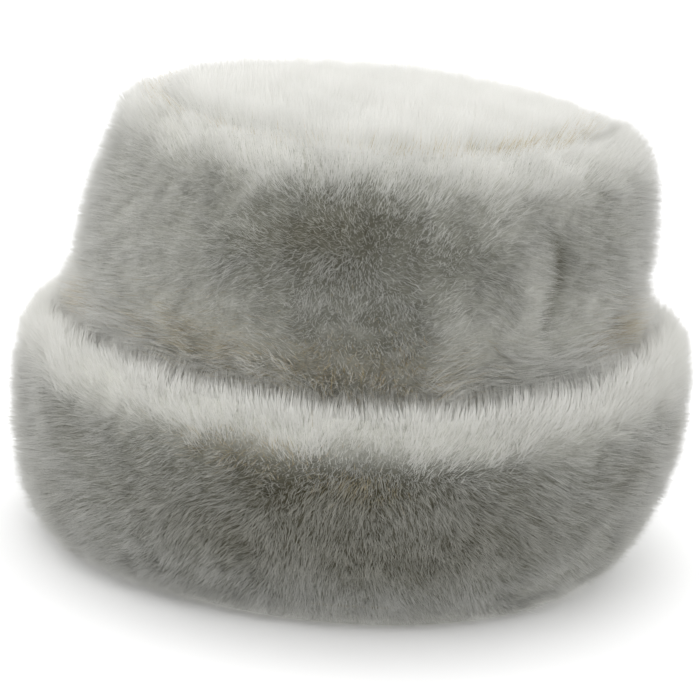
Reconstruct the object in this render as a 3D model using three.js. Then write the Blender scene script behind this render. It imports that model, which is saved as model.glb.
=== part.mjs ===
// A Turkmen fur hat: a soft pillbox crown of thick white pile inside a wide turned-up cuff.
// Millimetres, +Z up. The hat rests on the fold of its cuff, and -Y is the side seen in the photograph.
import * as THREE from "three";

// Sizes of the head oval, which every wall is measured outward from.
const HEAD_LENGTH = 192; // inside the hat, left to right
const HEAD_WIDTH = 178; // inside the hat, front to back

// Sizes of the fur cloth.
const TOP_THICKNESS = 14; // backing and pile of the top disc
const TUCKED_WALL = 8; // crown wall where the cuff presses its pile flat
const PRESSED_REACH = 8; // the pressed pile springs back over this height, below and above the cuff's top
const FOLD_DEPTH = 6; // cloth of the cuff that passes under the crown wall
const JOIN_GAP = 0.4; // clear space between two pieces that touch

// Round edges.
const ROLL_INNER = 14; // height of the cuff's rounded top on the side towards the crown
const ROLL_OUTER = 26; // and on its outer side
const SEAM_SHARE = 0.95; // the top seam lies this share of the corner radius in from the wall
const GROOVE_DEPTH = 5; // how deep the top seam sinks between the piles
const DOME_RISE = 3; // the top disc's middle above its edge
const TAPER_START = 105; // the crown narrows above this height

// Locks of pile that stand out of the fur.
const COLUMNS = 90; // steps round the oval, two to a lock
const LOCK_RELIEF = 1.8; // how far a lock stands out of its neighbours

// The upright seam, where the ends of the fur cloth meet, leaves a crease.
const CREASE_ANGLE = THREE.MathUtils.degToRad(-52);
const CREASE_WIDTH = THREE.MathUtils.degToRad(4.5);
const CREASE_DEPTH = 5; // in the crown wall
const CREASE_LIP = 1.5; // pile pushed up on the front side of the crease
const CUFF_NOTCH = 4; // dip in the cuff's roll over the same seam

// The crown on its four sides. Height is above the floor, and corner is the radius of its upper edge.
// Foot, middle and top say how far its pile stands out of the head oval.
const CROWN_SIDES = {
  right: { height: 166, foot: 6, middle: 11.5, top: 10, corner: 20 },
  back: { height: 172, foot: 12, middle: 14, top: 5, corner: 19 },
  left: { height: 170, foot: 12, middle: 11, top: 0, corner: 20 },
  front: { height: 162, foot: 13, middle: 14, top: 2, corner: 19 },
};

// The cuff on its four sides. Rest and top say how far its resting edge and its roll stand out of the
// head oval, and fullness how round its face is between them: 1 is straight, 2 a quarter of an ellipse.
const CUFF_SIDES = {
  right: { height: 94, rest: 8, fullness: 1.9, top: 31 },
  back: { height: 90, rest: 8, fullness: 1.6, top: 31 },
  left: { height: 89, rest: 12, fullness: 2.9, top: 33 },
  front: { height: 84, rest: 6, fullness: 1.2, top: 29 },
};

const { lerp, smoothstep } = THREE.MathUtils;

// Every size of a four-sided table at one angle, passing smoothly from side to side.
function sizesAt(sides, angle) {
  const x = Math.cos(angle);
  const y = Math.sin(angle);
  const shares = {
    right: Math.max(x, 0) ** 2,
    back: Math.max(y, 0) ** 2,
    left: Math.max(-x, 0) ** 2,
    front: Math.max(-y, 0) ** 2,
  };
  const sizes = {};
  for (const key of Object.keys(sides.right)) {
    sizes[key] = 0;
    for (const side of Object.keys(sides)) {
      sizes[key] += shares[side] * sides[side][key];
    }
  }
  return sizes;
}

// A smooth hump of height 1 at the crease, moved aside by some of its widths.
function creaseAt(angle, widthsAside = 0) {
  const turn = Math.atan2(Math.sin(angle - CREASE_ANGLE), Math.cos(angle - CREASE_ANGLE));
  return Math.exp(-((turn / CREASE_WIDTH - widthsAside) ** 2));
}

// Relief of the pile: locks in rows, each row half a lock aside from the last, no two quite alike.
function lockRelief(column, row) {
  const side = (column + row) % 2 === 0 ? 0.6 : -0.6;
  const variation = 0.4 * Math.sin(column * 12.9898 + row * 78.233);
  return LOCK_RELIEF * (side + variation);
}

function crownAt(angle) {
  const crown = sizesAt(CROWN_SIDES, angle);
  crown.seam = crown.top - SEAM_SHARE * crown.corner;
  crown.shoulder = crown.height - crown.corner;
  crown.ceiling = crown.height - TOP_THICKNESS;
  return crown;
}

function cuffAt(angle) {
  const cuff = sizesAt(CUFF_SIDES, angle);
  cuff.height -= CUFF_NOTCH * creaseAt(angle);
  return cuff;
}

// Outset of the crown's pile at a height, before the cuff presses it.
function wallOutset(crown, bottom, z) {
  const t = (z - bottom) / (crown.shoulder - bottom);
  const foot = crown.foot * (1 - t) * (1 - 2 * t);
  const middle = crown.middle * 4 * t * (1 - t);
  const top = crown.top * t * (2 * t - 1);
  return foot + middle + top;
}

// Each section is a closed outline of [outset, z] points: up inside, over the top and down outside.
function crownSideSection(column, angle) {
  const crown = crownAt(angle);
  const cuff = cuffAt(angle);
  const bottom = FOLD_DEPTH + JOIN_GAP;
  const section = [];

  // The bare backing inside, which narrows to the top disc.
  for (const share of [0, 0.35, 0.65, 0.76, 0.88, 1]) {
    const z = lerp(bottom, crown.ceiling, share);
    section.push([crown.seam * smoothstep(z, TAPER_START, crown.ceiling), z]);
  }

  // The seam groove, then the pile that curls over the corner.
  section.push([crown.seam, crown.height - GROOVE_DEPTH]);
  let row = 0;
  for (const degrees of [82, 62, 42, 22, 4]) {
    const a = THREE.MathUtils.degToRad(degrees);
    const reach = crown.corner + lockRelief(column, row++);
    const centre = crown.top - crown.corner;
    section.push([centre + reach * Math.cos(a), crown.shoulder + reach * Math.sin(a)]);
  }

  // The wall in rows of locks, with the crease, down to the cuff's roll.
  const pressedFrom = cuff.height + PRESSED_REACH;
  const pressedTo = cuff.height - PRESSED_REACH;
  for (const share of [0.14, 0.28, 0.42, 0.56, 0.7, 0.85, 1]) {
    const z = lerp(crown.shoulder, pressedFrom, share);
    const crease = CREASE_LIP * creaseAt(angle, -2) - CREASE_DEPTH * creaseAt(angle);
    const fade = smoothstep(share, 0, 0.3);
    section.push([wallOutset(crown, pressedTo, z) + crease * fade + lockRelief(column, row++), z]);
  }

  // The pile that the cuff presses flat.
  for (const share of [0.4, 0.75]) {
    const z = lerp(pressedFrom, pressedTo, share);
    const free = smoothstep(z, pressedTo, pressedFrom);
    section.push([lerp(TUCKED_WALL, wallOutset(crown, pressedTo, z), free), z]);
  }
  section.push([TUCKED_WALL, pressedTo]);
  section.push([TUCKED_WALL, bottom]);
  return section;
}

function cuffSection(column, angle) {
  const cuff = cuffAt(angle);
  const inner = TUCKED_WALL + JOIN_GAP;
  const rollFoot = cuff.height - ROLL_OUTER;

  // The fold under the crown wall, then the hidden face against that wall.
  const section = [
    [0, 0],
    [0, FOLD_DEPTH],
    [inner, FOLD_DEPTH],
    [inner, cuff.height - ROLL_INNER],
  ];

  // The rounded roll along the top.
  let row = 0;
  for (const degrees of [150, 120, 95, 70, 45, 20]) {
    const a = THREE.MathUtils.degToRad(degrees);
    const half = (cuff.top - inner) / 2;
    const rise = degrees < 90 ? ROLL_OUTER : ROLL_INNER;
    const relief = degrees < 100 ? lockRelief(column, row++) : 0;
    section.push([
      inner + half + (half + relief) * Math.cos(a),
      cuff.height - rise + (rise + relief) * Math.sin(a),
    ]);
  }

  // The outer face in rows of locks, round at the bottom fold and flat where it rests.
  for (const share of [0.98, 0.84, 0.7, 0.56, 0.43, 0.31, 0.2, 0.11, 0.04, 0]) {
    const swell = (1 - (1 - share) ** cuff.fullness) ** (1 / cuff.fullness);
    const relief = lockRelief(column, row++) * smoothstep(share, 0, 0.2);
    section.push([lerp(cuff.rest, cuff.top, swell) + relief, rollFoot * share]);
  }
  return section;
}

// The top disc's section starts and ends on the axis. Its points are [share of the seam oval, z].
function crownTopSection(column, angle) {
  const crown = crownAt(angle);
  const middle = crownMiddleHeight();
  const pile = (share, depth) => lerp(middle + DOME_RISE, crown.height, share) - depth;
  const section = [[0, pile(0, 0)]];
  let row = 0;
  for (const share of [0.13, 0.27, 0.41, 0.55, 0.69, 0.82, 0.92]) {
    section.push([share, pile(share, 0) + lockRelief(column, row++) * share]);
  }
  section.push([0.97, pile(1, GROOVE_DEPTH / 3)]);
  section.push([1, pile(1, GROOVE_DEPTH)]);
  section.push([1, pile(1, TOP_THICKNESS)]);
  section.push([0.5, pile(0.5, TOP_THICKNESS)]);
  section.push([0, pile(0, TOP_THICKNESS)]);
  return section;
}

function crownMiddleHeight() {
  const heights = Object.values(CROWN_SIDES).map((side) => side.height);
  return heights.reduce((sum, height) => sum + height, 0) / heights.length;
}

// A point at an angle, some way out from the head oval.
function ovalPoint(angle, outset, z) {
  const x = (HEAD_LENGTH / 2 + outset) * Math.cos(angle);
  const y = (HEAD_WIDTH / 2 + outset) * Math.sin(angle);
  return [x, y, z];
}

// A point of the top disc, whose full share is the seam oval less the gap.
function discPoint(angle, share, z) {
  const [x, y] = ovalPoint(angle, crownAt(angle).seam - JOIN_GAP, z);
  return [x * share, y * share, z];
}

const columnAngle = (column) => (column * 2 * Math.PI) / COLUMNS;

function geometryFrom(positions, index) {
  const geometry = new THREE.BufferGeometry();
  geometry.setAttribute("position", new THREE.Float32BufferAttribute(positions, 3));
  geometry.setIndex(index);
  geometry.computeVertexNormals();
  return geometry;
}

// A closed ring: the section repeats round the oval, and each outline joins the next one.
function ringGeometry(sectionAt) {
  const positions = [];
  const index = [];
  const steps = sectionAt(0, 0).length;
  for (let column = 0; column < COLUMNS; column++) {
    const angle = columnAngle(column);
    for (const [outset, z] of sectionAt(column, angle)) {
      positions.push(...ovalPoint(angle, outset, z));
    }
    const next = (column + 1) % COLUMNS;
    for (let step = 0; step < steps; step++) {
      const after = (step + 1) % steps;
      const a = column * steps + step;
      const b = column * steps + after;
      const c = next * steps + step;
      const d = next * steps + after;
      index.push(a, b, c, b, d, c);
    }
  }
  return geometryFrom(positions, index);
}

// A closed disc: the first and last points of the section are single points on the axis.
function discGeometry(sectionAt) {
  const ends = sectionAt(0, 0);
  const rings = ends.length - 2;
  const positions = [0, 0, ends[0][1], 0, 0, ends[ends.length - 1][1]];
  const index = [];
  const at = (column, ring) => 2 + (column % COLUMNS) * rings + ring;
  for (let column = 0; column < COLUMNS; column++) {
    const angle = columnAngle(column);
    for (const [share, z] of sectionAt(column, angle).slice(1, -1)) {
      positions.push(...discPoint(angle, share, z));
    }
    index.push(0, at(column, 0), at(column + 1, 0));
    for (let ring = 0; ring < rings - 1; ring++) {
      index.push(at(column, ring), at(column, ring + 1), at(column + 1, ring));
      index.push(at(column, ring + 1), at(column + 1, ring + 1), at(column + 1, ring));
    }
    index.push(at(column, rings - 1), 1, at(column + 1, rings - 1));
  }
  return geometryFrom(positions, index);
}

function furMesh(name, geometry, color) {
  const material = new THREE.MeshStandardMaterial({ color, roughness: 0.95, metalness: 0 });
  const mesh = new THREE.Mesh(geometry, material);
  mesh.name = name;
  return mesh;
}

const hat = new THREE.Group();
hat.add(furMesh("crown_top", discGeometry(crownTopSection), 0xe4e4de));
hat.add(furMesh("crown_side", ringGeometry(crownSideSection), 0xd6d5cc));
hat.add(furMesh("cuff", ringGeometry(cuffSection), 0xdcdbd4));

// The frame's origin is under the middle of the hat's outer box.
const middle = new THREE.Box3().setFromObject(hat).getCenter(new THREE.Vector3());
hat.position.set(-middle.x, -middle.y, 0);

export default hat;
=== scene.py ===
# %% [markdown]
# # A white fur hat
# The hat is three pieces of fur cloth sewn together: an oval top, a side band and a turned-up cuff.
# The packed solids already hold its outer form. This lesson turns each solid into a soft body of underfur
# and then grows a pile of single hairs on it, because fur gets its softness from hairs that really stand
# up and shade one another.

# %% Load the frame
import math

import bpy
import numpy as np
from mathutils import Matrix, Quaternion, Vector, kdtree


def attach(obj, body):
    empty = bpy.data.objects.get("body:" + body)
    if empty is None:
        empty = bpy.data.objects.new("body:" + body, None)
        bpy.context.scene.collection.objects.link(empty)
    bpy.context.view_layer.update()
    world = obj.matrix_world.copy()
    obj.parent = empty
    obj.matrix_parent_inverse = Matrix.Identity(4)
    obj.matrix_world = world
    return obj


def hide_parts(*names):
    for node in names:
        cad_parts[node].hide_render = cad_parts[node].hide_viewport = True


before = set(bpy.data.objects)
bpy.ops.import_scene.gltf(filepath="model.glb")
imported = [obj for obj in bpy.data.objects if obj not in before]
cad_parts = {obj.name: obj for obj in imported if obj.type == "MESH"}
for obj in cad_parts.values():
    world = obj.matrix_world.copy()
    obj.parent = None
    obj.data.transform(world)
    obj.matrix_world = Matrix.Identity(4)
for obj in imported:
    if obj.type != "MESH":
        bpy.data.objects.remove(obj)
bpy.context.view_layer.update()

MM = 0.001
chance = np.random.default_rng(58)

# %% [markdown]
# ## Writing materials as sums
# A procedural material is arithmetic on sockets. The class below wraps one socket, so that a line such as
# `1 - tip * 0.5` adds its Math nodes by itself. One method makes every other kind of node.

# %% Shader arithmetic
class Value:
    """One socket of a material's node tree, which can be used in plain sums."""

    def __init__(self, tree, socket):
        self.tree = tree
        self.socket = socket

    def node(self, kind, settings=None, **inputs):
        """A new node of a kind, with its settings first and then the values or links of its sockets."""
        made = self.tree.nodes.new(kind)
        for key, setting in (settings or {}).items():
            if key == "stops":
                fill_ramp(made.color_ramp, setting)
            else:
                setattr(made, key, setting)
        for key, entry in inputs.items():
            name = key.replace("_", " ")
            socket = made.inputs[int(key[1:])] if key[1:].isdigit() else made.inputs[name]
            if isinstance(entry, Value):
                self.tree.links.new(entry.socket, socket)
            else:
                socket.default_value = entry
        return made

    def maths(self, operation, first, second):
        made = self.node("ShaderNodeMath", {"operation": operation}, n0=first, n1=second)
        return Value(self.tree, made.outputs[0])

    def __add__(self, other):
        return self.maths("ADD", self, other)

    def __radd__(self, other):
        return self.maths("ADD", other, self)

    def __sub__(self, other):
        return self.maths("SUBTRACT", self, other)

    def __rsub__(self, other):
        return self.maths("SUBTRACT", other, self)

    def __mul__(self, other):
        return self.maths("MULTIPLY", self, other)

    def __rmul__(self, other):
        return self.maths("MULTIPLY", other, self)

    def __pow__(self, other):
        return self.maths("POWER", self, other)

    def ramp(self, stops):
        """A colour for this value, from a list of (place, colour) stops."""
        made = self.node("ShaderNodeValToRGB", {"stops": stops}, Fac=self)
        return Value(self.tree, made.outputs["Color"])

    def blend(self, first, second):
        """The first colour where this value is 0 and the second where it is 1."""
        made = self.node("ShaderNodeMix", {"data_type": "RGBA"}, n0=self, n6=first, n7=second)
        return Value(self.tree, made.outputs[2])


def fill_ramp(ramp, stops):
    while len(ramp.elements) < len(stops):
        ramp.elements.new(1.0)
    for element, (place, colour) in zip(ramp.elements, stops):
        element.position = place
        element.color = (*linear(colour), 1)


def linear(colour):
    """A colour as it is read off a screen, turned into the light values that Blender mixes."""
    return tuple(((c + 0.055) / 1.055) ** 2.4 if c > 0.04 else c / 12.92 for c in colour)


def new_material(name, roughness):
    """A material with its surface shader and the wrapped outputs of its texture coordinates."""
    material = bpy.data.materials.new(name)
    material.use_nodes = True
    tree = material.node_tree
    shader = tree.nodes["Principled BSDF"]
    shader.inputs["Roughness"].default_value = roughness
    shader.inputs["Specular IOR Level"].default_value = 0.15
    places = tree.nodes.new("ShaderNodeTexCoord")
    return material, shader, Value(tree, places.outputs["Object"])


print("sums on sockets:", [name for name in vars(Value) if name.startswith("__r")])

# %% [markdown]
# ## Underfur and backing
# Between the hairs one looks down on shorter, denser underfur, painted greyer than the hairs: partly its own
# colour and partly painted shade of the deep pile. Inside the hat there is only the pale knitted backing of
# the fur cloth. Both follow the object's own coordinates.

# %% Materials of the bodies
def underfur_material():
    material, shader, place = new_material("underfur", 0.95)
    shader.inputs["Sheen Weight"].default_value = 0.2
    patches = place.node("ShaderNodeTexNoise", Vector=place, Scale=60.0, Detail=3.0)
    tufts = place.node("ShaderNodeTexNoise", Vector=place, Scale=900.0, Detail=2.0)
    shade = Value(place.tree, patches.outputs["Fac"]) * 0.5 + Value(place.tree, tufts.outputs["Fac"]) * 0.5
    stored = place.node("ShaderNodeAttribute", {"attribute_name": "tone"})
    tone = Value(place.tree, stored.outputs["Fac"]) + (shade - 0.5) * 0.2
    # The stored tone carries the pile's painted light and shade, and this ramp is darker than the hairs'
    # roots as painted shade of the deep pile.
    colour = tone.ramp([(0.0, (0.86, 0.86, 0.83)), (0.3, (0.58, 0.58, 0.54)), (0.6, (0.4, 0.385, 0.31)),
                        (1.0, (0.52, 0.42, 0.28))])
    place.tree.links.new(colour.socket, shader.inputs["Base Color"])
    relief = place.node("ShaderNodeBump", Height=shade, Strength=0.6, Distance=1.5 * MM)
    place.tree.links.new(relief.outputs["Normal"], shader.inputs["Normal"])
    return material


def backing_material():
    material, shader, place = new_material("knitted_backing", 0.9)
    parts = place.node("ShaderNodeSeparateXYZ", Vector=place)
    x, y, z = (Value(place.tree, socket) for socket in parts.outputs)
    turn = place.maths("ARCTAN2", y, x)
    wales = place.maths("SINE", turn * 340.0, 0.0)
    courses = place.maths("SINE", z * (2 * math.pi / (1.6 * MM)) + turn * 340.0, 0.0)
    loops = wales * courses * 0.5 + 0.5
    colour = loops.ramp([(0.0, (0.62, 0.6, 0.53)), (1.0, (0.82, 0.8, 0.73))])
    place.tree.links.new(colour.socket, shader.inputs["Base Color"])
    relief = place.node("ShaderNodeBump", Height=loops, Strength=0.5, Distance=0.4 * MM)
    place.tree.links.new(relief.outputs["Normal"], shader.inputs["Normal"])
    return material


UNDERFUR = underfur_material()
BACKING = backing_material()
print("body materials", UNDERFUR.name, BACKING.name)

# %% [markdown]
# ## Measuring round the hat
# The hat is soft and a little crooked, so its crown and cuff are not equally high on all sides. The sizes
# are given on the four sides and pass smoothly from one to the next. Everything later is placed by them,
# and not by picking points by hand, so that it still fits when a size is changed.

# %% Sizes round the hat
CROWN_HEIGHTS = {"right": 166 * MM, "back": 172 * MM, "left": 170 * MM, "front": 162 * MM}
CORNER_START = 34 * MM
TOP_THICKNESS = 14 * MM
FOLD_DEPTH = 6 * MM
CUFF_HEIGHTS = {"right": 94 * MM, "back": 90 * MM, "left": 89 * MM, "front": 84 * MM}
HEAD_HALF = np.array([96 * MM, 89 * MM])


def round_the_hat(sides, place):
    """A size that is given on the four sides, passing smoothly from side to side."""
    way = unit(place[:, :2] / HEAD_HALF)
    shares = np.maximum(np.stack([way[:, 0], way[:, 1], -way[:, 0], -way[:, 1]], 1), 0) ** 2
    return shares @ np.array([sides[side] for side in ("right", "back", "left", "front")])


def unit(vectors):
    return vectors / np.linalg.norm(vectors, axis=1, keepdims=True).clip(1e-12)


def outward(place):
    """The level direction out of the head oval."""
    level = np.zeros_like(place)
    level[:, :2] = place[:, :2] / HEAD_HALF**2
    return unit(level)


def soft_step(share):
    return share * share * (3 - 2 * share)


def corner_share(place):
    """0 on the crown's wall, rising to 1 where the wall has turned over into the top."""
    height = round_the_hat(CROWN_HEIGHTS, place)
    return np.clip((place[:, 2] - height + CORNER_START) / (CORNER_START - 2 * MM), 0, 1)


def above_cuff(place):
    """Height above the cuff's roll, beside each point."""
    return place[:, 2] - round_the_hat(CUFF_HEIGHTS, place)


def hump(value, middle, width):
    """A smooth hump of height 1 round a value."""
    return np.exp(-(((value - middle) / width) ** 2))


bare_front = CROWN_HEIGHTS["front"] - CUFF_HEIGHTS["front"]
print("crown stands", round(bare_front / MM), "mm over the cuff in front")

# %% [markdown]
# ## Where fur grows
# Each solid has furry faces and bare ones. Fur grows on the top of the disc, on the outside of the side
# band down to the cuff, and over the cuff's roll and face. The inside, the hidden faces between the pieces
# and the flat strip on the floor stay bare. The rules below tell them apart by their direction and height.

# %% Rules for furry faces

def face_facts(mesh):
    """Middles and normals of all the faces of a mesh."""
    middles = np.empty(len(mesh.polygons) * 3, np.float32)
    normals = np.empty(len(mesh.polygons) * 3, np.float32)
    mesh.polygons.foreach_get("center", middles)
    mesh.polygons.foreach_get("normal", normals)
    return middles.reshape(-1, 3).astype(float), normals.reshape(-1, 3).astype(float)


def top_is_furry(mesh):
    middle, normal = face_facts(mesh)
    return normal[:, 2] > 0.05


def side_is_furry(mesh):
    middle, normal = face_facts(mesh)
    wall = ((normal * outward(middle)).sum(1) > 0.2) & (above_cuff(middle) > -11 * MM)
    corner = (corner_share(middle) > 0.55) & ((normal * side_way(middle, normal)).sum(1) > 0.05)
    return wall | corner


def cuff_is_furry(mesh):
    middle, normal = face_facts(mesh)
    face = ((normal * outward(middle)).sum(1) > 0.05) & (normal[:, 2] > -0.97)
    roll = (normal[:, 2] > 0.2) & (above_cuff(middle) > -17 * MM)
    return face | roll


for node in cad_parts:
    print(node, "has", len(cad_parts[node].data.polygons), "faces to sort")

# %% [markdown]
# ## The crease in the side band
# The side band is closed by one upright seam at the front right, where the fur folds in. A cut in the mesh
# would look sharp, so the fold is written as a strength that fades at both ends. It later bends the hairs,
# shortens them and darkens them with painted shade along one wavy line, and makes the lip on its front side
# paler with painted light.

# %% Crease
UP = np.array([[0.0, 0.0, 1.0]])
CREASE_ANGLE = math.radians(-52)
CREASE_WIDTH = math.radians(3.6)
CREASE_LEAN = math.radians(1.5)


def crease_widths(place):
    """How many crease widths a point lies round the hat from the crease, less than 0 towards the front."""
    way = place[:, :2] / HEAD_HALF
    height = above_cuff(place)
    bends = np.sin(height / (8 * MM)) * 1.3
    angle = CREASE_ANGLE - CREASE_LEAN * (height / (30 * MM) - 1 + bends)
    turn = np.arctan2(way[:, 1], way[:, 0]) - angle
    return np.arctan2(np.sin(turn), np.cos(turn)) / CREASE_WIDTH


def crease_strength(place):
    """The crease runs up the middle of the crown's wall and fades at both ends."""
    height = above_cuff(place)
    rising = soft_step(np.clip((height - 4 * MM) / (14 * MM), 0, 1))
    return rising * soft_step(np.clip((56 * MM - height) / (22 * MM), 0, 1))


print("crease at", round(math.degrees(CREASE_ANGLE)), "degrees round the hat")

# %% [markdown]
# ## Which way the hairs stand
# Hairs stand out along the surface. At the seam round the top that would point them into the groove, so
# there they follow the rounded corner that the eye sees instead. Hairs on the inner slope of the cuff's
# roll lean towards the crown and close the gap between them.

# %% Directions of the pile
def side_way(place, normal):
    share = soft_step(corner_share(place))[:, None]
    angle = share * math.radians(58)
    corner = outward(place) * np.cos(angle) + UP * np.sin(angle)
    foot = hump(above_cuff(place), 4 * MM, 16 * MM)[:, None]
    wall = unit(normal * 0.6 + outward(place) * 0.4 + UP * 0.45 * foot)
    round_way = np.cross(UP, outward(place))
    widths = crease_widths(place)
    parting = np.tanh(widths * 1.5) * hump(widths, 0, 1.2) * crease_strength(place) * -0.1
    return unit(wall * (1 - share) + corner * share + round_way * parting[:, None])


def top_way(place, normal):
    reach = np.linalg.norm(place[:, :2] / (HEAD_HALF - 8 * MM), axis=1)[:, None]
    return unit(UP + outward(place) * 0.8 * reach**4 + normal * 0.3)


def cuff_way(place, normal):
    out = outward(place)
    inner = np.clip(-(normal * out).sum(1), 0, 1)[:, None]
    below = soft_step(np.clip((-above_cuff(place) - 7 * MM) / (22 * MM), 0, 1))[:, None]
    face = below * (1 - inner)
    roll = (1 - below) * (1 - inner)
    floor = hump(place[:, 2], 0, 9 * MM)[:, None]
    rise = 0.5 * inner + 0.7 * roll + 0.25 * face + 0.4 * floor
    return unit(normal + UP * rise + out * (0.9 * face + 0.8 * floor))


example = side_way(np.array([[0.0, -0.1, 0.13]]), np.array([[0.0, -1.0, 0.0]]))[0]
print("a hair in the middle of the front points", [round(part, 2) for part in example])

# %% [markdown]
# ## Which way the pile catches the light
# A pile as soft as this scatters light among its hairs, so it looks lit from higher up than any single
# hair faces. The hairs on the crown's corner and on the cuff's roll are therefore shaded as if turned up.

# %% Shading of the pile
SHOULDER_TILT = 0.22
LEFT_TILT = 0.15
FOOT_TILT = 0.45
ROLL_TILT = 1.0


def side_light(place, stand):
    height = round_the_hat(CROWN_HEIGHTS, place)
    near_top = np.clip((place[:, 2] - height + 75 * MM) / (70 * MM), 0, 1)
    near_foot = hump(above_cuff(place), 6 * MM, 22 * MM)
    left = np.clip(-outward(place)[:, 0], 0, 1)
    return unit(stand + UP * ((SHOULDER_TILT + LEFT_TILT * left) * near_top + FOOT_TILT * near_foot)[:, None])


def top_light(place, stand):
    return stand


def cuff_light(place, stand):
    near_roll = soft_step(np.clip((above_cuff(place) + 35 * MM) / (30 * MM), 0, 1))
    return unit(stand + UP * ROLL_TILT * near_roll[:, None])


print("the roll's shading is turned up by", round(math.degrees(math.atan(ROLL_TILT))), "degrees")

# %% [markdown]
# ## How far the hairs reach
# The tips end on the smooth form, with a few changes: the crease is sunk, with a lip on its front side, and
# the piles of the crown and of the roll reach across the narrow gap between them until they meet.

# %% Reach of the pile
SEAM_HALF = HEAD_HALF - 15 * MM
TIP_REACH = 0.8 * MM
TOP_REACH = 2.6 * MM


def seam_strength(place):
    """1 along the seam round the top, and 0 a few millimetres away from it."""
    share = np.linalg.norm(place[:, :2] / SEAM_HALF, axis=1)
    near_top = place[:, 2] > round_the_hat(CROWN_HEIGHTS, place) - 20 * MM
    return hump(share, 1.0, 0.045) * near_top


def seam_stain(place):
    """The seam is creamiest on the front of the hat, right of the middle."""
    return 0.3 + 1.2 * hump(place[:, 0], 38 * MM, 26 * MM) * (place[:, 1] < 0)


def side_reach(place, normal):
    widths = crease_widths(place)
    lip = 1.8 * MM * hump(widths, -1.1, 0.7)
    sunk = 3.5 * MM * hump(widths, 0.1, 0.35)
    crease = crease_strength(place) * (lip - sunk)
    meet = 6.5 * MM * hump(above_cuff(place), 0, 9 * MM)
    return TIP_REACH + crease + meet - 2.0 * MM * seam_strength(place)


def top_reach(place, normal):
    return TOP_REACH - 3.0 * MM * seam_strength(place)


def cuff_reach(place, normal):
    inner = np.clip(-(normal * outward(place)).sum(1), 0, 1)
    right = soft_step(np.clip(place[:, 0] / (110 * MM), 0, 1))
    low = hump(place[:, 2], 8 * MM, 26 * MM)
    high = hump(above_cuff(place), 0, 14 * MM)
    return TIP_REACH + 7 * MM * inner - low * (1 + 3 * right) * MM + 3 * MM * high * right


print("tips reach", round(TIP_REACH / MM, 1), "mm out, and", round(TOP_REACH / MM, 1), "mm on the top")

# %% [markdown]
# ## Soft bodies from the solids
# A copy of each solid is the start. Its doubled points are merged, its triangles become quads, and
# smoothing takes the coarse locks down to the even outline that brushed pile has. This smooth form is
# where the tips of the hairs will end. Shrinking the furry faces along their normals then leaves the body
# of underfur that the hairs come out of.

# %% Body helpers
def edit(body, faces):
    """Opens a body in edit mode with only the given faces selected."""
    bpy.ops.object.select_all(action="DESELECT")
    body.select_set(True)
    bpy.context.view_layer.objects.active = body
    bpy.context.tool_settings.mesh_select_mode = (False, False, True)
    bpy.ops.object.mode_set(mode="EDIT")
    bpy.ops.mesh.select_all(action="DESELECT")
    bpy.ops.object.mode_set(mode="OBJECT")
    body.data.polygons.foreach_set("select", faces)
    bpy.ops.object.mode_set(mode="EDIT")


def smooth_form(node, is_furry):
    """The even outer form of a solid's pile, as a quad mesh."""
    body = bpy.data.objects.new(node + "_body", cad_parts[node].data.copy())
    bpy.context.collection.objects.link(body)
    edit(body, np.ones(len(body.data.polygons), bool))
    bpy.ops.mesh.remove_doubles(threshold=0.01 * MM)
    bpy.ops.mesh.tris_convert_to_quads(face_threshold=math.radians(70), shape_threshold=math.radians(120))
    bpy.ops.object.mode_set(mode="OBJECT")
    edit(body, is_furry(body.data))
    bpy.ops.mesh.vertices_smooth(factor=0.5, repeat=2)
    bpy.ops.object.mode_set(mode="OBJECT")
    finer = body.modifiers.new("finer", "SUBSURF")
    finer.levels = 1
    finer.render_levels = 1
    bpy.ops.object.modifier_apply(modifier=finer.name)
    return body


print("bodies are smoothed before their hairs grow, and sunk after")

# %% [markdown]
# ## The underfur
# Once the hairs have their places, the same body is sunk under them. Each of its points stores the tone of
# the fur there, so that what shows between the hairs has the colour of their roots.

# %% Sinking a body
def sink_to_underfur(body, is_furry, tone_of, depth):
    """Sinks the furry faces by the pile's depth, and gives the body its tones, materials and place."""
    furry = is_furry(body.data)
    points = np.empty(len(body.data.vertices) * 3, np.float32)
    body.data.vertices.foreach_get("co", points)
    tones = tone_of(points.reshape(-1, 3).astype(float))
    stored = body.data.attributes.new("tone", "FLOAT", "POINT")
    stored.data.foreach_set("value", tones.astype(np.float32))
    edit(body, furry)
    bpy.ops.transform.shrink_fatten(value=-depth)
    bpy.ops.mesh.vertices_smooth(factor=0.5, repeat=3)
    bpy.ops.object.mode_set(mode="OBJECT")
    middle, normal = face_facts(body.data)
    outside = furry | (middle[:, 2] > round_the_hat(CROWN_HEIGHTS, middle) - TOP_THICKNESS)
    turned_out = (normal * outward(middle)).sum(1)
    outside |= (middle[:, 2] < FOLD_DEPTH) & (normal[:, 2] < 0.5) & (turned_out > -0.5)
    body.data.materials.clear()
    body.data.materials.append(BACKING)
    body.data.materials.append(UNDERFUR)
    body.data.polygons.foreach_set("material_index", outside.astype(np.int32))
    bpy.ops.object.shade_smooth()
    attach(body, "root")
    print(body.name, len(furry), "faces,", int(furry.sum()), "of them furry")

# %% [markdown]
# ## Scattering hairs
# Blender's own hair curves can't leave Blender as a mesh, so the pile is made of real faces. The hairs are
# scattered evenly over the furry faces: a face is picked as often as its area asks, and then a point on it.

# %% Scatter
DENSITY = 2.8


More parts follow.
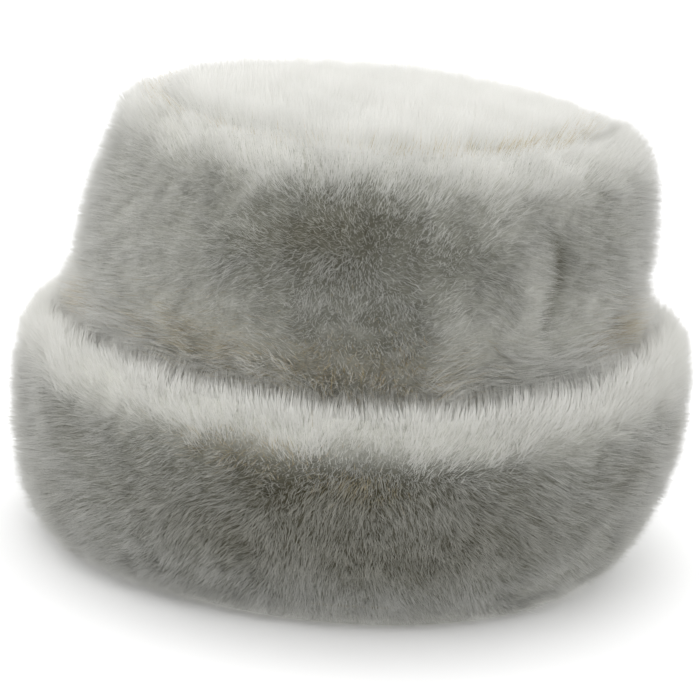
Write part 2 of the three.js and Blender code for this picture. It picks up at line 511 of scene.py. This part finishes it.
def sample(mesh, furry, density):
    """Points spread evenly over the furry faces, so many to a square millimetre, with the normals there."""
    mesh.calc_loop_triangles()
    triangles = np.empty(len(mesh.loop_triangles) * 3, np.int32)
    owners = np.empty(len(mesh.loop_triangles), np.int32)
    points = np.empty(len(mesh.vertices) * 3, np.float32)
    normals = np.empty(len(mesh.vertices) * 3, np.float32)
    mesh.loop_triangles.foreach_get("vertices", triangles)
    mesh.loop_triangles.foreach_get("polygon_index", owners)
    mesh.vertices.foreach_get("co", points)
    mesh.vertex_normals.foreach_get("vector", normals)
    triangles = triangles.reshape(-1, 3)[furry[owners]]
    corners = points.reshape(-1, 3)[triangles]
    first = corners[:, 1] - corners[:, 0]
    second = corners[:, 2] - corners[:, 0]
    areas = np.linalg.norm(np.cross(first, second), axis=1) / 2
    count = int(areas.sum() / MM**2 * density)
    picked = chance.choice(len(triangles), count, p=areas / areas.sum())
    share = np.sqrt(chance.random((count, 1)))
    along = chance.random((count, 1))
    weights = np.hstack([1 - share, share * (1 - along), share * along])[:, :, None]
    place = (corners[picked] * weights).sum(1)
    normal = unit((normals.reshape(-1, 3)[triangles[picked]] * weights).sum(1))
    print("furry area", round(areas.sum() / MM**2), "mm2,", count, "hairs")
    return place, normal


print(DENSITY, "hairs to a square millimetre")

# %% [markdown]
# ## Waves and tufts
# Two things keep the pile from looking like a brush: neighbouring hairs lean together in slow waves, and
# the tips gather into small tufts, as they do on fur that has been worn and stroked.

# %% Waves and tufts
def waves(place, length, seed):
    """A smooth three-part field that swings over about the given length, between about -1 and 1."""
    own = np.random.default_rng(seed)
    ways = unit(own.normal(size=(18, 3)))
    phases = own.uniform(0, 2 * math.pi, (18, 3))
    stretch = own.uniform(0.6, 1.6, 18)
    turns = (place @ ways.T) * stretch * (2 * math.pi / length)
    return np.sin(turns[:, :, None] + phases[None]).sum(1) / 3.0


def gather(tips, spacing, pull):
    """Draws each tip towards the middle of its own small tuft."""
    wanted = max(8, int(len(tips) * 0.06))
    middles = tips[chance.choice(len(tips), wanted, replace=False)]
    tree = kdtree.KDTree(wanted)
    for number, middle in enumerate(middles):
        tree.insert(middle, number)
    tree.balance()
    nearest = np.array([tree.find(tip)[1] for tip in tips])
    way = middles[nearest] - tips
    near = np.exp(-((np.linalg.norm(way, axis=1) / spacing) ** 2))
    return tips + way * (pull * near * chance.uniform(0.2, 1.0, len(tips)))[:, None]


swing = waves(np.linspace(0, 1, 300)[:, None] * UP, 40 * MM, 3)
print("waves swing from", round(swing.min(), 1), "to", round(swing.max(), 1))

# %% [markdown]
# ## One mesh for many hairs
# A hair is a flat blade with a front and a back face. Its tip lies on the smooth form, and its root is sunk
# into the underfur. Hundreds of thousands of them are far too many for operators, so their points, faces and
# map are written as arrays. Each corner takes its normal from the pile and not from the blade, because a pile
# is lit as one soft surface.

# %% Blades
HAIR_WIDTH = 0.28 * MM
BLADE_THICKNESS = 0.03
BLADE_ROUNDING = 0.35
BLADE_TILT = 0.12


def hair_mesh(name, roots, tips, normals, widths, tones):
    """All the hairs as one mesh of two-sided blades. Its map holds tone across, root to tip up."""
    count = len(roots)
    axis = unit(tips - roots)
    aside = unit(np.cross(axis, UP + 0.5 * unit(chance.normal(size=(count, 3)))))
    aside *= chance.choice([-1.0, 1.0], (count, 1))
    facing = np.cross(axis, aside)
    half = aside * widths[:, None] / 2
    thick = facing * widths[:, None] * BLADE_THICKNESS
    points = np.stack([roots + half, roots - half + thick, roots - half - thick, tips], 1)
    shade = normals - facing * (normals * facing).sum(1, keepdims=True)
    turn = aside * BLADE_ROUNDING
    tilt = facing * BLADE_TILT
    corners = [shade + turn + tilt, shade - turn + tilt, shade + tilt,
               shade - turn - tilt, shade + turn - tilt, shade - tilt]
    sides = np.array([[0, 1, 3], [2, 0, 3]], np.int32)
    faces = (np.arange(count, dtype=np.int32)[:, None, None] * 4 + sides[None]).reshape(-1, 3)

    mesh = bpy.data.meshes.new(name)
    mesh.vertices.add(count * 4)
    mesh.vertices.foreach_set("co", points.astype(np.float32).ravel())
    mesh.loops.add(faces.size)
    mesh.loops.foreach_set("vertex_index", faces.ravel())
    mesh.polygons.add(len(faces))
    mesh.polygons.foreach_set("loop_start", np.arange(0, faces.size, 3, dtype=np.int32))
    mesh.polygons.foreach_set("use_smooth", np.ones(len(faces), bool))
    mesh.update(calc_edges=True)
    breadth = 0.008
    middle = np.clip(tones, breadth, 1 - breadth)
    across = np.stack([middle - breadth, middle + breadth, middle + breadth, middle], 1).ravel()
    up = np.tile([0.0, 0.0, 0.0, 1.0], count)
    chart = mesh.uv_layers.new(name="OFBake")
    chart.uv.foreach_set("vector", np.stack([across, up], -1)[faces.ravel()].astype(np.float32).ravel())
    mesh.normals_split_custom_set(unit(np.stack(corners, 1).reshape(-1, 3)))
    return mesh


print("a hair is", round(HAIR_WIDTH / MM, 2), "mm wide at its root")

# %% [markdown]
# ## Growing a pile
# Each piece of fur gets its hairs in the same way: scatter, direction, lean, reach, tuft, tone. A few longer
# guard hairs break the edge. The pile is split round the hat, so that no mesh grows too heavy.

# %% Grow
PILE_DEPTH = 8.5 * MM
FLOOR_GAP = 0.5 * MM


def grow(name, form, is_furry, way_of, light_of, reach_of, tone_of, stain_of, parts):
    """Grows hairs on a form and joins them into a few pieces, split round the hat."""
    place, normal = sample(form.data, is_furry(form.data), DENSITY)
    count = len(place)
    stand = way_of(place, normal)
    lit = light_of(place, stand)
    lean = waves(place, 40 * MM, 3) * 0.08 + waves(place, 12 * MM, 4) * 0.05
    lean += chance.normal(size=place.shape) * 0.11
    way = unit(stand + lean)
    reach = reach_of(place, normal)
    reach += chance.normal(size=count) * 1.0 * MM + waves(place, 16 * MM, 6)[:, 0] * 0.7 * MM
    guard = chance.random(count) < 0.05
    reach += guard * chance.uniform(0.5, 2.5, count) * MM
    tips = gather(place + stand * reach[:, None], 2.0 * MM, 0.24)
    roots = tips - way * (PILE_DEPTH + reach)[:, None]
    tips[:, 2] = np.maximum(tips[:, 2], FLOOR_GAP)
    roots[:, 2] = np.maximum(roots[:, 2], FLOOR_GAP)
    widths = chance.uniform(0.7, 1.3, count) * HAIR_WIDTH
    tones = tan_some(tone_of(place), stain_of(place))
    turn = np.arctan2(place[:, 0], -place[:, 1])
    part = np.minimum(((turn + math.pi) / (2 * math.pi) * parts).astype(int), parts - 1)
    for number in range(parts):
        mine = part == number
        title = f"{name}_{number + 1}"
        mesh = hair_mesh(title, roots[mine], tips[mine], lit[mine], widths[mine], tones[mine])
        mesh.materials.append(PILE)
        piece = bpy.data.objects.new(mesh.name, mesh)
        bpy.context.collection.objects.link(piece)
        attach(piece, "root")
        print(piece.name, len(mesh.polygons), "triangles")


print("hairs are", round(PILE_DEPTH / MM, 1), "mm long under the form")

# %% [markdown]
# ## Colour of the pile
# The hairs are white at the tip and greyer at the root. Their tone runs from white through grey and dull
# olive to tan, and is stored across the map, so one small material colours every hair.

# %% Pile material
def pile_material():
    material, shader, place = new_material("white_pile", 0.75)
    chart = place.tree.nodes.new("ShaderNodeUVMap")
    chart.uv_map = "OFBake"
    parts = place.node("ShaderNodeSeparateXYZ", Vector=Value(place.tree, chart.outputs["UV"]))
    tone = Value(place.tree, parts.outputs["X"])
    up = Value(place.tree, parts.outputs["Y"])
    root = tone.ramp([(0.0, (0.92, 0.92, 0.89)), (0.3, (0.69, 0.69, 0.66)), (0.6, (0.43, 0.415, 0.33)),
                      (0.75, (0.62, 0.585, 0.45)), (1.0, (0.56, 0.46, 0.31))])
    tip = tone.ramp([(0.0, (0.98, 0.977, 0.957)), (0.3, (0.96, 0.96, 0.94)), (0.6, (0.89, 0.885, 0.84)),
                     (0.75, (0.92, 0.885, 0.77)), (1.0, (0.85, 0.75, 0.58))])
    colour = (up ** 0.8).blend(root, tip)
    place.tree.links.new(colour.socket, shader.inputs["Base Color"])
    return material


PILE = pile_material()
print("pile material", PILE.name)

# %% [markdown]
# ## Tones and stains
# The tones paint light and shade into the pile: the hairs are painted paler on the top, on the crown's
# corner, at the wall's foot and on the roll, and painted darker in the middle of the crown's front, along the
# crease, under the roll and in the middle of the cuff's face. Stains are a share of tan hairs round a few
# spots, because a stain in fur is never a flat patch.

# %% Tones
CROWN_STAINS = [((4, -100, 92), (30, 20, 9), 0.5), ((-48, -86, 96), (28, 20, 9), 0.4),
                ((92, -46, 99), (14, 16, 8), 0.5), ((-96, -36, 92), (6, 12, 6), 0.5)]
CUFF_STAINS = [((5, -113, 57), (10, 12, 5), 0.5), ((-34, -112, 65), (24, 12, 6), 0.45)]


def plain_tone(place, base):
    """A tone that drifts in patches round a base, with a little chance for each hair."""
    patch = waves(place, 40 * MM, 9)[:, 0] * 0.03
    return np.clip(base + patch + chance.normal(size=len(place)) * 0.035, 0, 1)


def stain(place, spots):
    """The share of tan hairs round some spots, each with its middle, its spread and its strongest share."""
    share = np.zeros(len(place))
    for middle, spread, strongest in spots:
        away = np.linalg.norm((place - np.array(middle) * MM) / (np.array(spread) * MM), axis=1)
        share += strongest * hump(away, 0, 1)
    return share


def tan_some(tones, share):
    """Turns a share of the hairs tan, picked by chance, and leaves the others as they are."""
    picked = chance.random(len(tones)) < share
    return np.clip(np.where(picked, chance.normal(0.82, 0.05, len(tones)), tones), 0, 1)


def top_tone_with_painted_light(place):
    # Painted light: the top's hairs get the palest tone, with whitish roots, because the light falls on the
    # top.
    return plain_tone(place, 0.08)


def top_stain(place):
    return 0.4 * seam_strength(place) * seam_stain(place)


def side_tone_with_painted_light_and_shade(place):
    # Painted light: the hairs turn paler towards the corner, where the wall turns into the lit top.
    corner = soft_step(corner_share(place))
    height = above_cuff(place)
    front = hump(place[:, 0], -7 * MM, 32 * MM) * (place[:, 1] < 0)
    # Painted light: the hairs at the wall's foot are made paler, to make up for the shade that the roll casts
    # there.
    foot = -0.11 * hump(height, 6 * MM, 22 * MM)
    # Painted shade: the middle of the front is made darker and more olive, as the pile looks there when it is
    # seen end on.
    painted_front_shade = 0.26 * front * hump(height, 45 * MM, 30 * MM)
    widths = crease_widths(place)
    # Painted shade darkens the line of the crease, and painted light makes the lip on its front side paler.
    crease = crease_strength(place) * (0.28 * hump(widths, 0.15, 0.4) - 0.16 * hump(widths, -1.2, 0.8))
    return np.clip(plain_tone(place, 0.22) - 0.16 * corner + foot + painted_front_shade + crease, 0, 1)


def side_stain(place):
    return top_stain(place) + stain(place, CROWN_STAINS)


def cuff_tone_with_painted_light_and_shade(place):
    height = above_cuff(place)
    front = hump(place[:, 0], 2 * MM, 55 * MM) * (place[:, 1] < 0)
    # Painted light: the roll is made paler, where the light falls on it.
    roll = soft_step(np.clip((height + 33 * MM) / (25 * MM), 0, 1))
    # Painted shadow: a darker band under the roll, strongest in front.
    painted_roll_shadow = hump(height, -28 * MM, 8 * MM) * (0.02 + 0.1 * front)
    # Painted shade: the middle of the cuff's face is darker, strongest in front.
    painted_cuff_shade = hump(place[:, 2], 38 * MM, 20 * MM) * (0.02 + 0.26 * front)
    fringe = hump(place[:, 2], 0, 5 * MM)
    return np.clip(plain_tone(place, 0.29) - 0.29 * roll + painted_roll_shadow + painted_cuff_shade - 0.2 * fringe, 0, 1)


def cuff_stain(place):
    return stain(place, CUFF_STAINS)


print(len(CROWN_STAINS) + len(CUFF_STAINS), "stains")

# %% [markdown]
# ## The top
# The top is an oval disc, sewn in below a rounded edge. Its hairs stand up and lean out over the seam, which
# stays just visible because the hairs beside it are shorter.

# %% Top
top = smooth_form("crown_top", top_is_furry)
grow("top_pile", top, top_is_furry, top_way, top_light, top_reach, top_tone_with_painted_light, top_stain, 1)
sink_to_underfur(top, top_is_furry, top_tone_with_painted_light, 5 * MM)
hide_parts("crown_top")

# %% [markdown]
# ## The side band
# The band curls over the upper corner, so its hairs turn from level to upright on the way. It is the largest
# bare view of the fur, with the crease and the front, both darkened with painted shade.

# %% Side
side = smooth_form("crown_side", side_is_furry)
grow("side_pile", side, side_is_furry, side_way, side_light, side_reach, side_tone_with_painted_light_and_shade, side_stain, 2)
sink_to_underfur(side, side_is_furry, side_tone_with_painted_light_and_shade, 5.5 * MM)
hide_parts("crown_side")

# %% [markdown]
# ## The cuff
# The cuff is the same cloth, turned up. Its hairs lean up and over the roll, and the roll is also painted
# paler with painted light, which is why the roll looks white. The face below it, seen end on and darkened
# with painted shade under the roll and in the middle of the front, looks grey.

# %% Cuff
cuff = smooth_form("cuff", cuff_is_furry)
grow("cuff_pile", cuff, cuff_is_furry, cuff_way, cuff_light, cuff_reach, cuff_tone_with_painted_light_and_shade, cuff_stain, 3)
sink_to_underfur(cuff, cuff_is_furry, cuff_tone_with_painted_light_and_shade, 5.5 * MM)
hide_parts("cuff")

# %% [markdown]
# ## The floor
# The hat rests on a plain pale floor. It takes the soft shadow, but throws no light back up into the fur.

# %% Floor
def floor():
    bpy.ops.object.select_all(action="DESELECT")
    bpy.ops.mesh.primitive_plane_add(size=40)
    plane = bpy.context.active_object
    plane.name = "floor"
    material, shader, place = new_material("pale_floor", 0.9)
    shader.inputs["Base Color"].default_value = (0.9, 0.9, 0.9, 1)
    plane.data.materials.append(material)
    plane.visible_diffuse = False


floor()
print("floor is in place")

# %% [markdown]
# ## The light
# A studio dome gives the even light of the photograph: strongest overhead, behind and at the sides, so that
# the front stays grey. Two wide lamps add a little from above, one of them from the front left.

# %% Lights
GREY = np.ones(3)
SKY_POWER = 1.43
SKY_BEHIND = 0.55
SKY_ASIDE = 0.6


def area_light(name, place, aim, size, power):
    data = bpy.data.lights.new(name, "AREA")
    data.shape = "DISK"
    data.size = size
    data.energy = power
    lamp = bpy.data.objects.new(name, data)
    lamp.location = place
    lamp.rotation_mode = "QUATERNION"
    lamp.rotation_quaternion = (Vector(aim) - Vector(place)).to_track_quat("-Z", "Y")
    bpy.context.collection.objects.link(lamp)


def sky():
    """A studio dome: brightest overhead, and brighter behind the hat than in front of it."""
    world = bpy.data.worlds.new("studio")
    world.use_nodes = True
    tree = world.node_tree
    place = tree.nodes.new("ShaderNodeTexCoord")
    start = Value(tree, place.outputs["Generated"])
    parts = start.node("ShaderNodeSeparateXYZ", Vector=start)
    aside = Value(tree, parts.outputs["X"])
    behind = Value(tree, parts.outputs["Y"])
    height = Value(tree, parts.outputs["Z"]) * 0.5 + 0.5
    tone = height.ramp([(0.0, GREY * 0.7), (0.47, GREY * 0.75), (0.6, GREY * 0.85), (1.0, GREY)])
    background = tree.nodes["Background"]
    tree.links.new(tone.socket, background.inputs["Color"])
    power = SKY_POWER * (1 + SKY_BEHIND * behind + SKY_ASIDE * aside * aside)
    tree.links.new(power.socket, background.inputs["Strength"])
    bpy.context.scene.world = world


sky()
area_light("overhead", (0.0, 0.2, 1.4), (0, 0, 0.1), 1.0, 1)
area_light("front_soft", (-0.25, -0.8, 1.3), (0, 0, 0.1), 1.0, 4.5)
bpy.context.scene.view_settings.view_transform = "Standard"
print("sky of", SKY_POWER, "and", len(bpy.data.lights), "lamps")

# %% [markdown]
# ## The camera
# The photograph was taken from a little above, close by, and slightly rolled. The camera's place was found by
# laying the hat's outline over the picture.

# %% Camera
CAMERA_PLACE = Vector((0.001, -0.589, 0.230))
CAMERA_AIM = Vector((-0.001, -0.001, 0.0705))
CAMERA_ROLL = math.radians(4.4)
CAMERA_LENS = 82.6


def camera():
    data = bpy.data.cameras.new("camera")
    data.sensor_width = 36
    data.lens = CAMERA_LENS
    eye = bpy.data.objects.new("camera", data)
    eye.location = CAMERA_PLACE
    eye.rotation_mode = "QUATERNION"
    level = (CAMERA_AIM - CAMERA_PLACE).to_track_quat("-Z", "Y")
    eye.rotation_quaternion = level @ Quaternion((0, 0, 1), CAMERA_ROLL)
    bpy.context.collection.objects.link(eye)
    bpy.context.scene.camera = eye


camera()
print("camera at", [round(part, 3) for part in CAMERA_PLACE])

# %% [markdown]
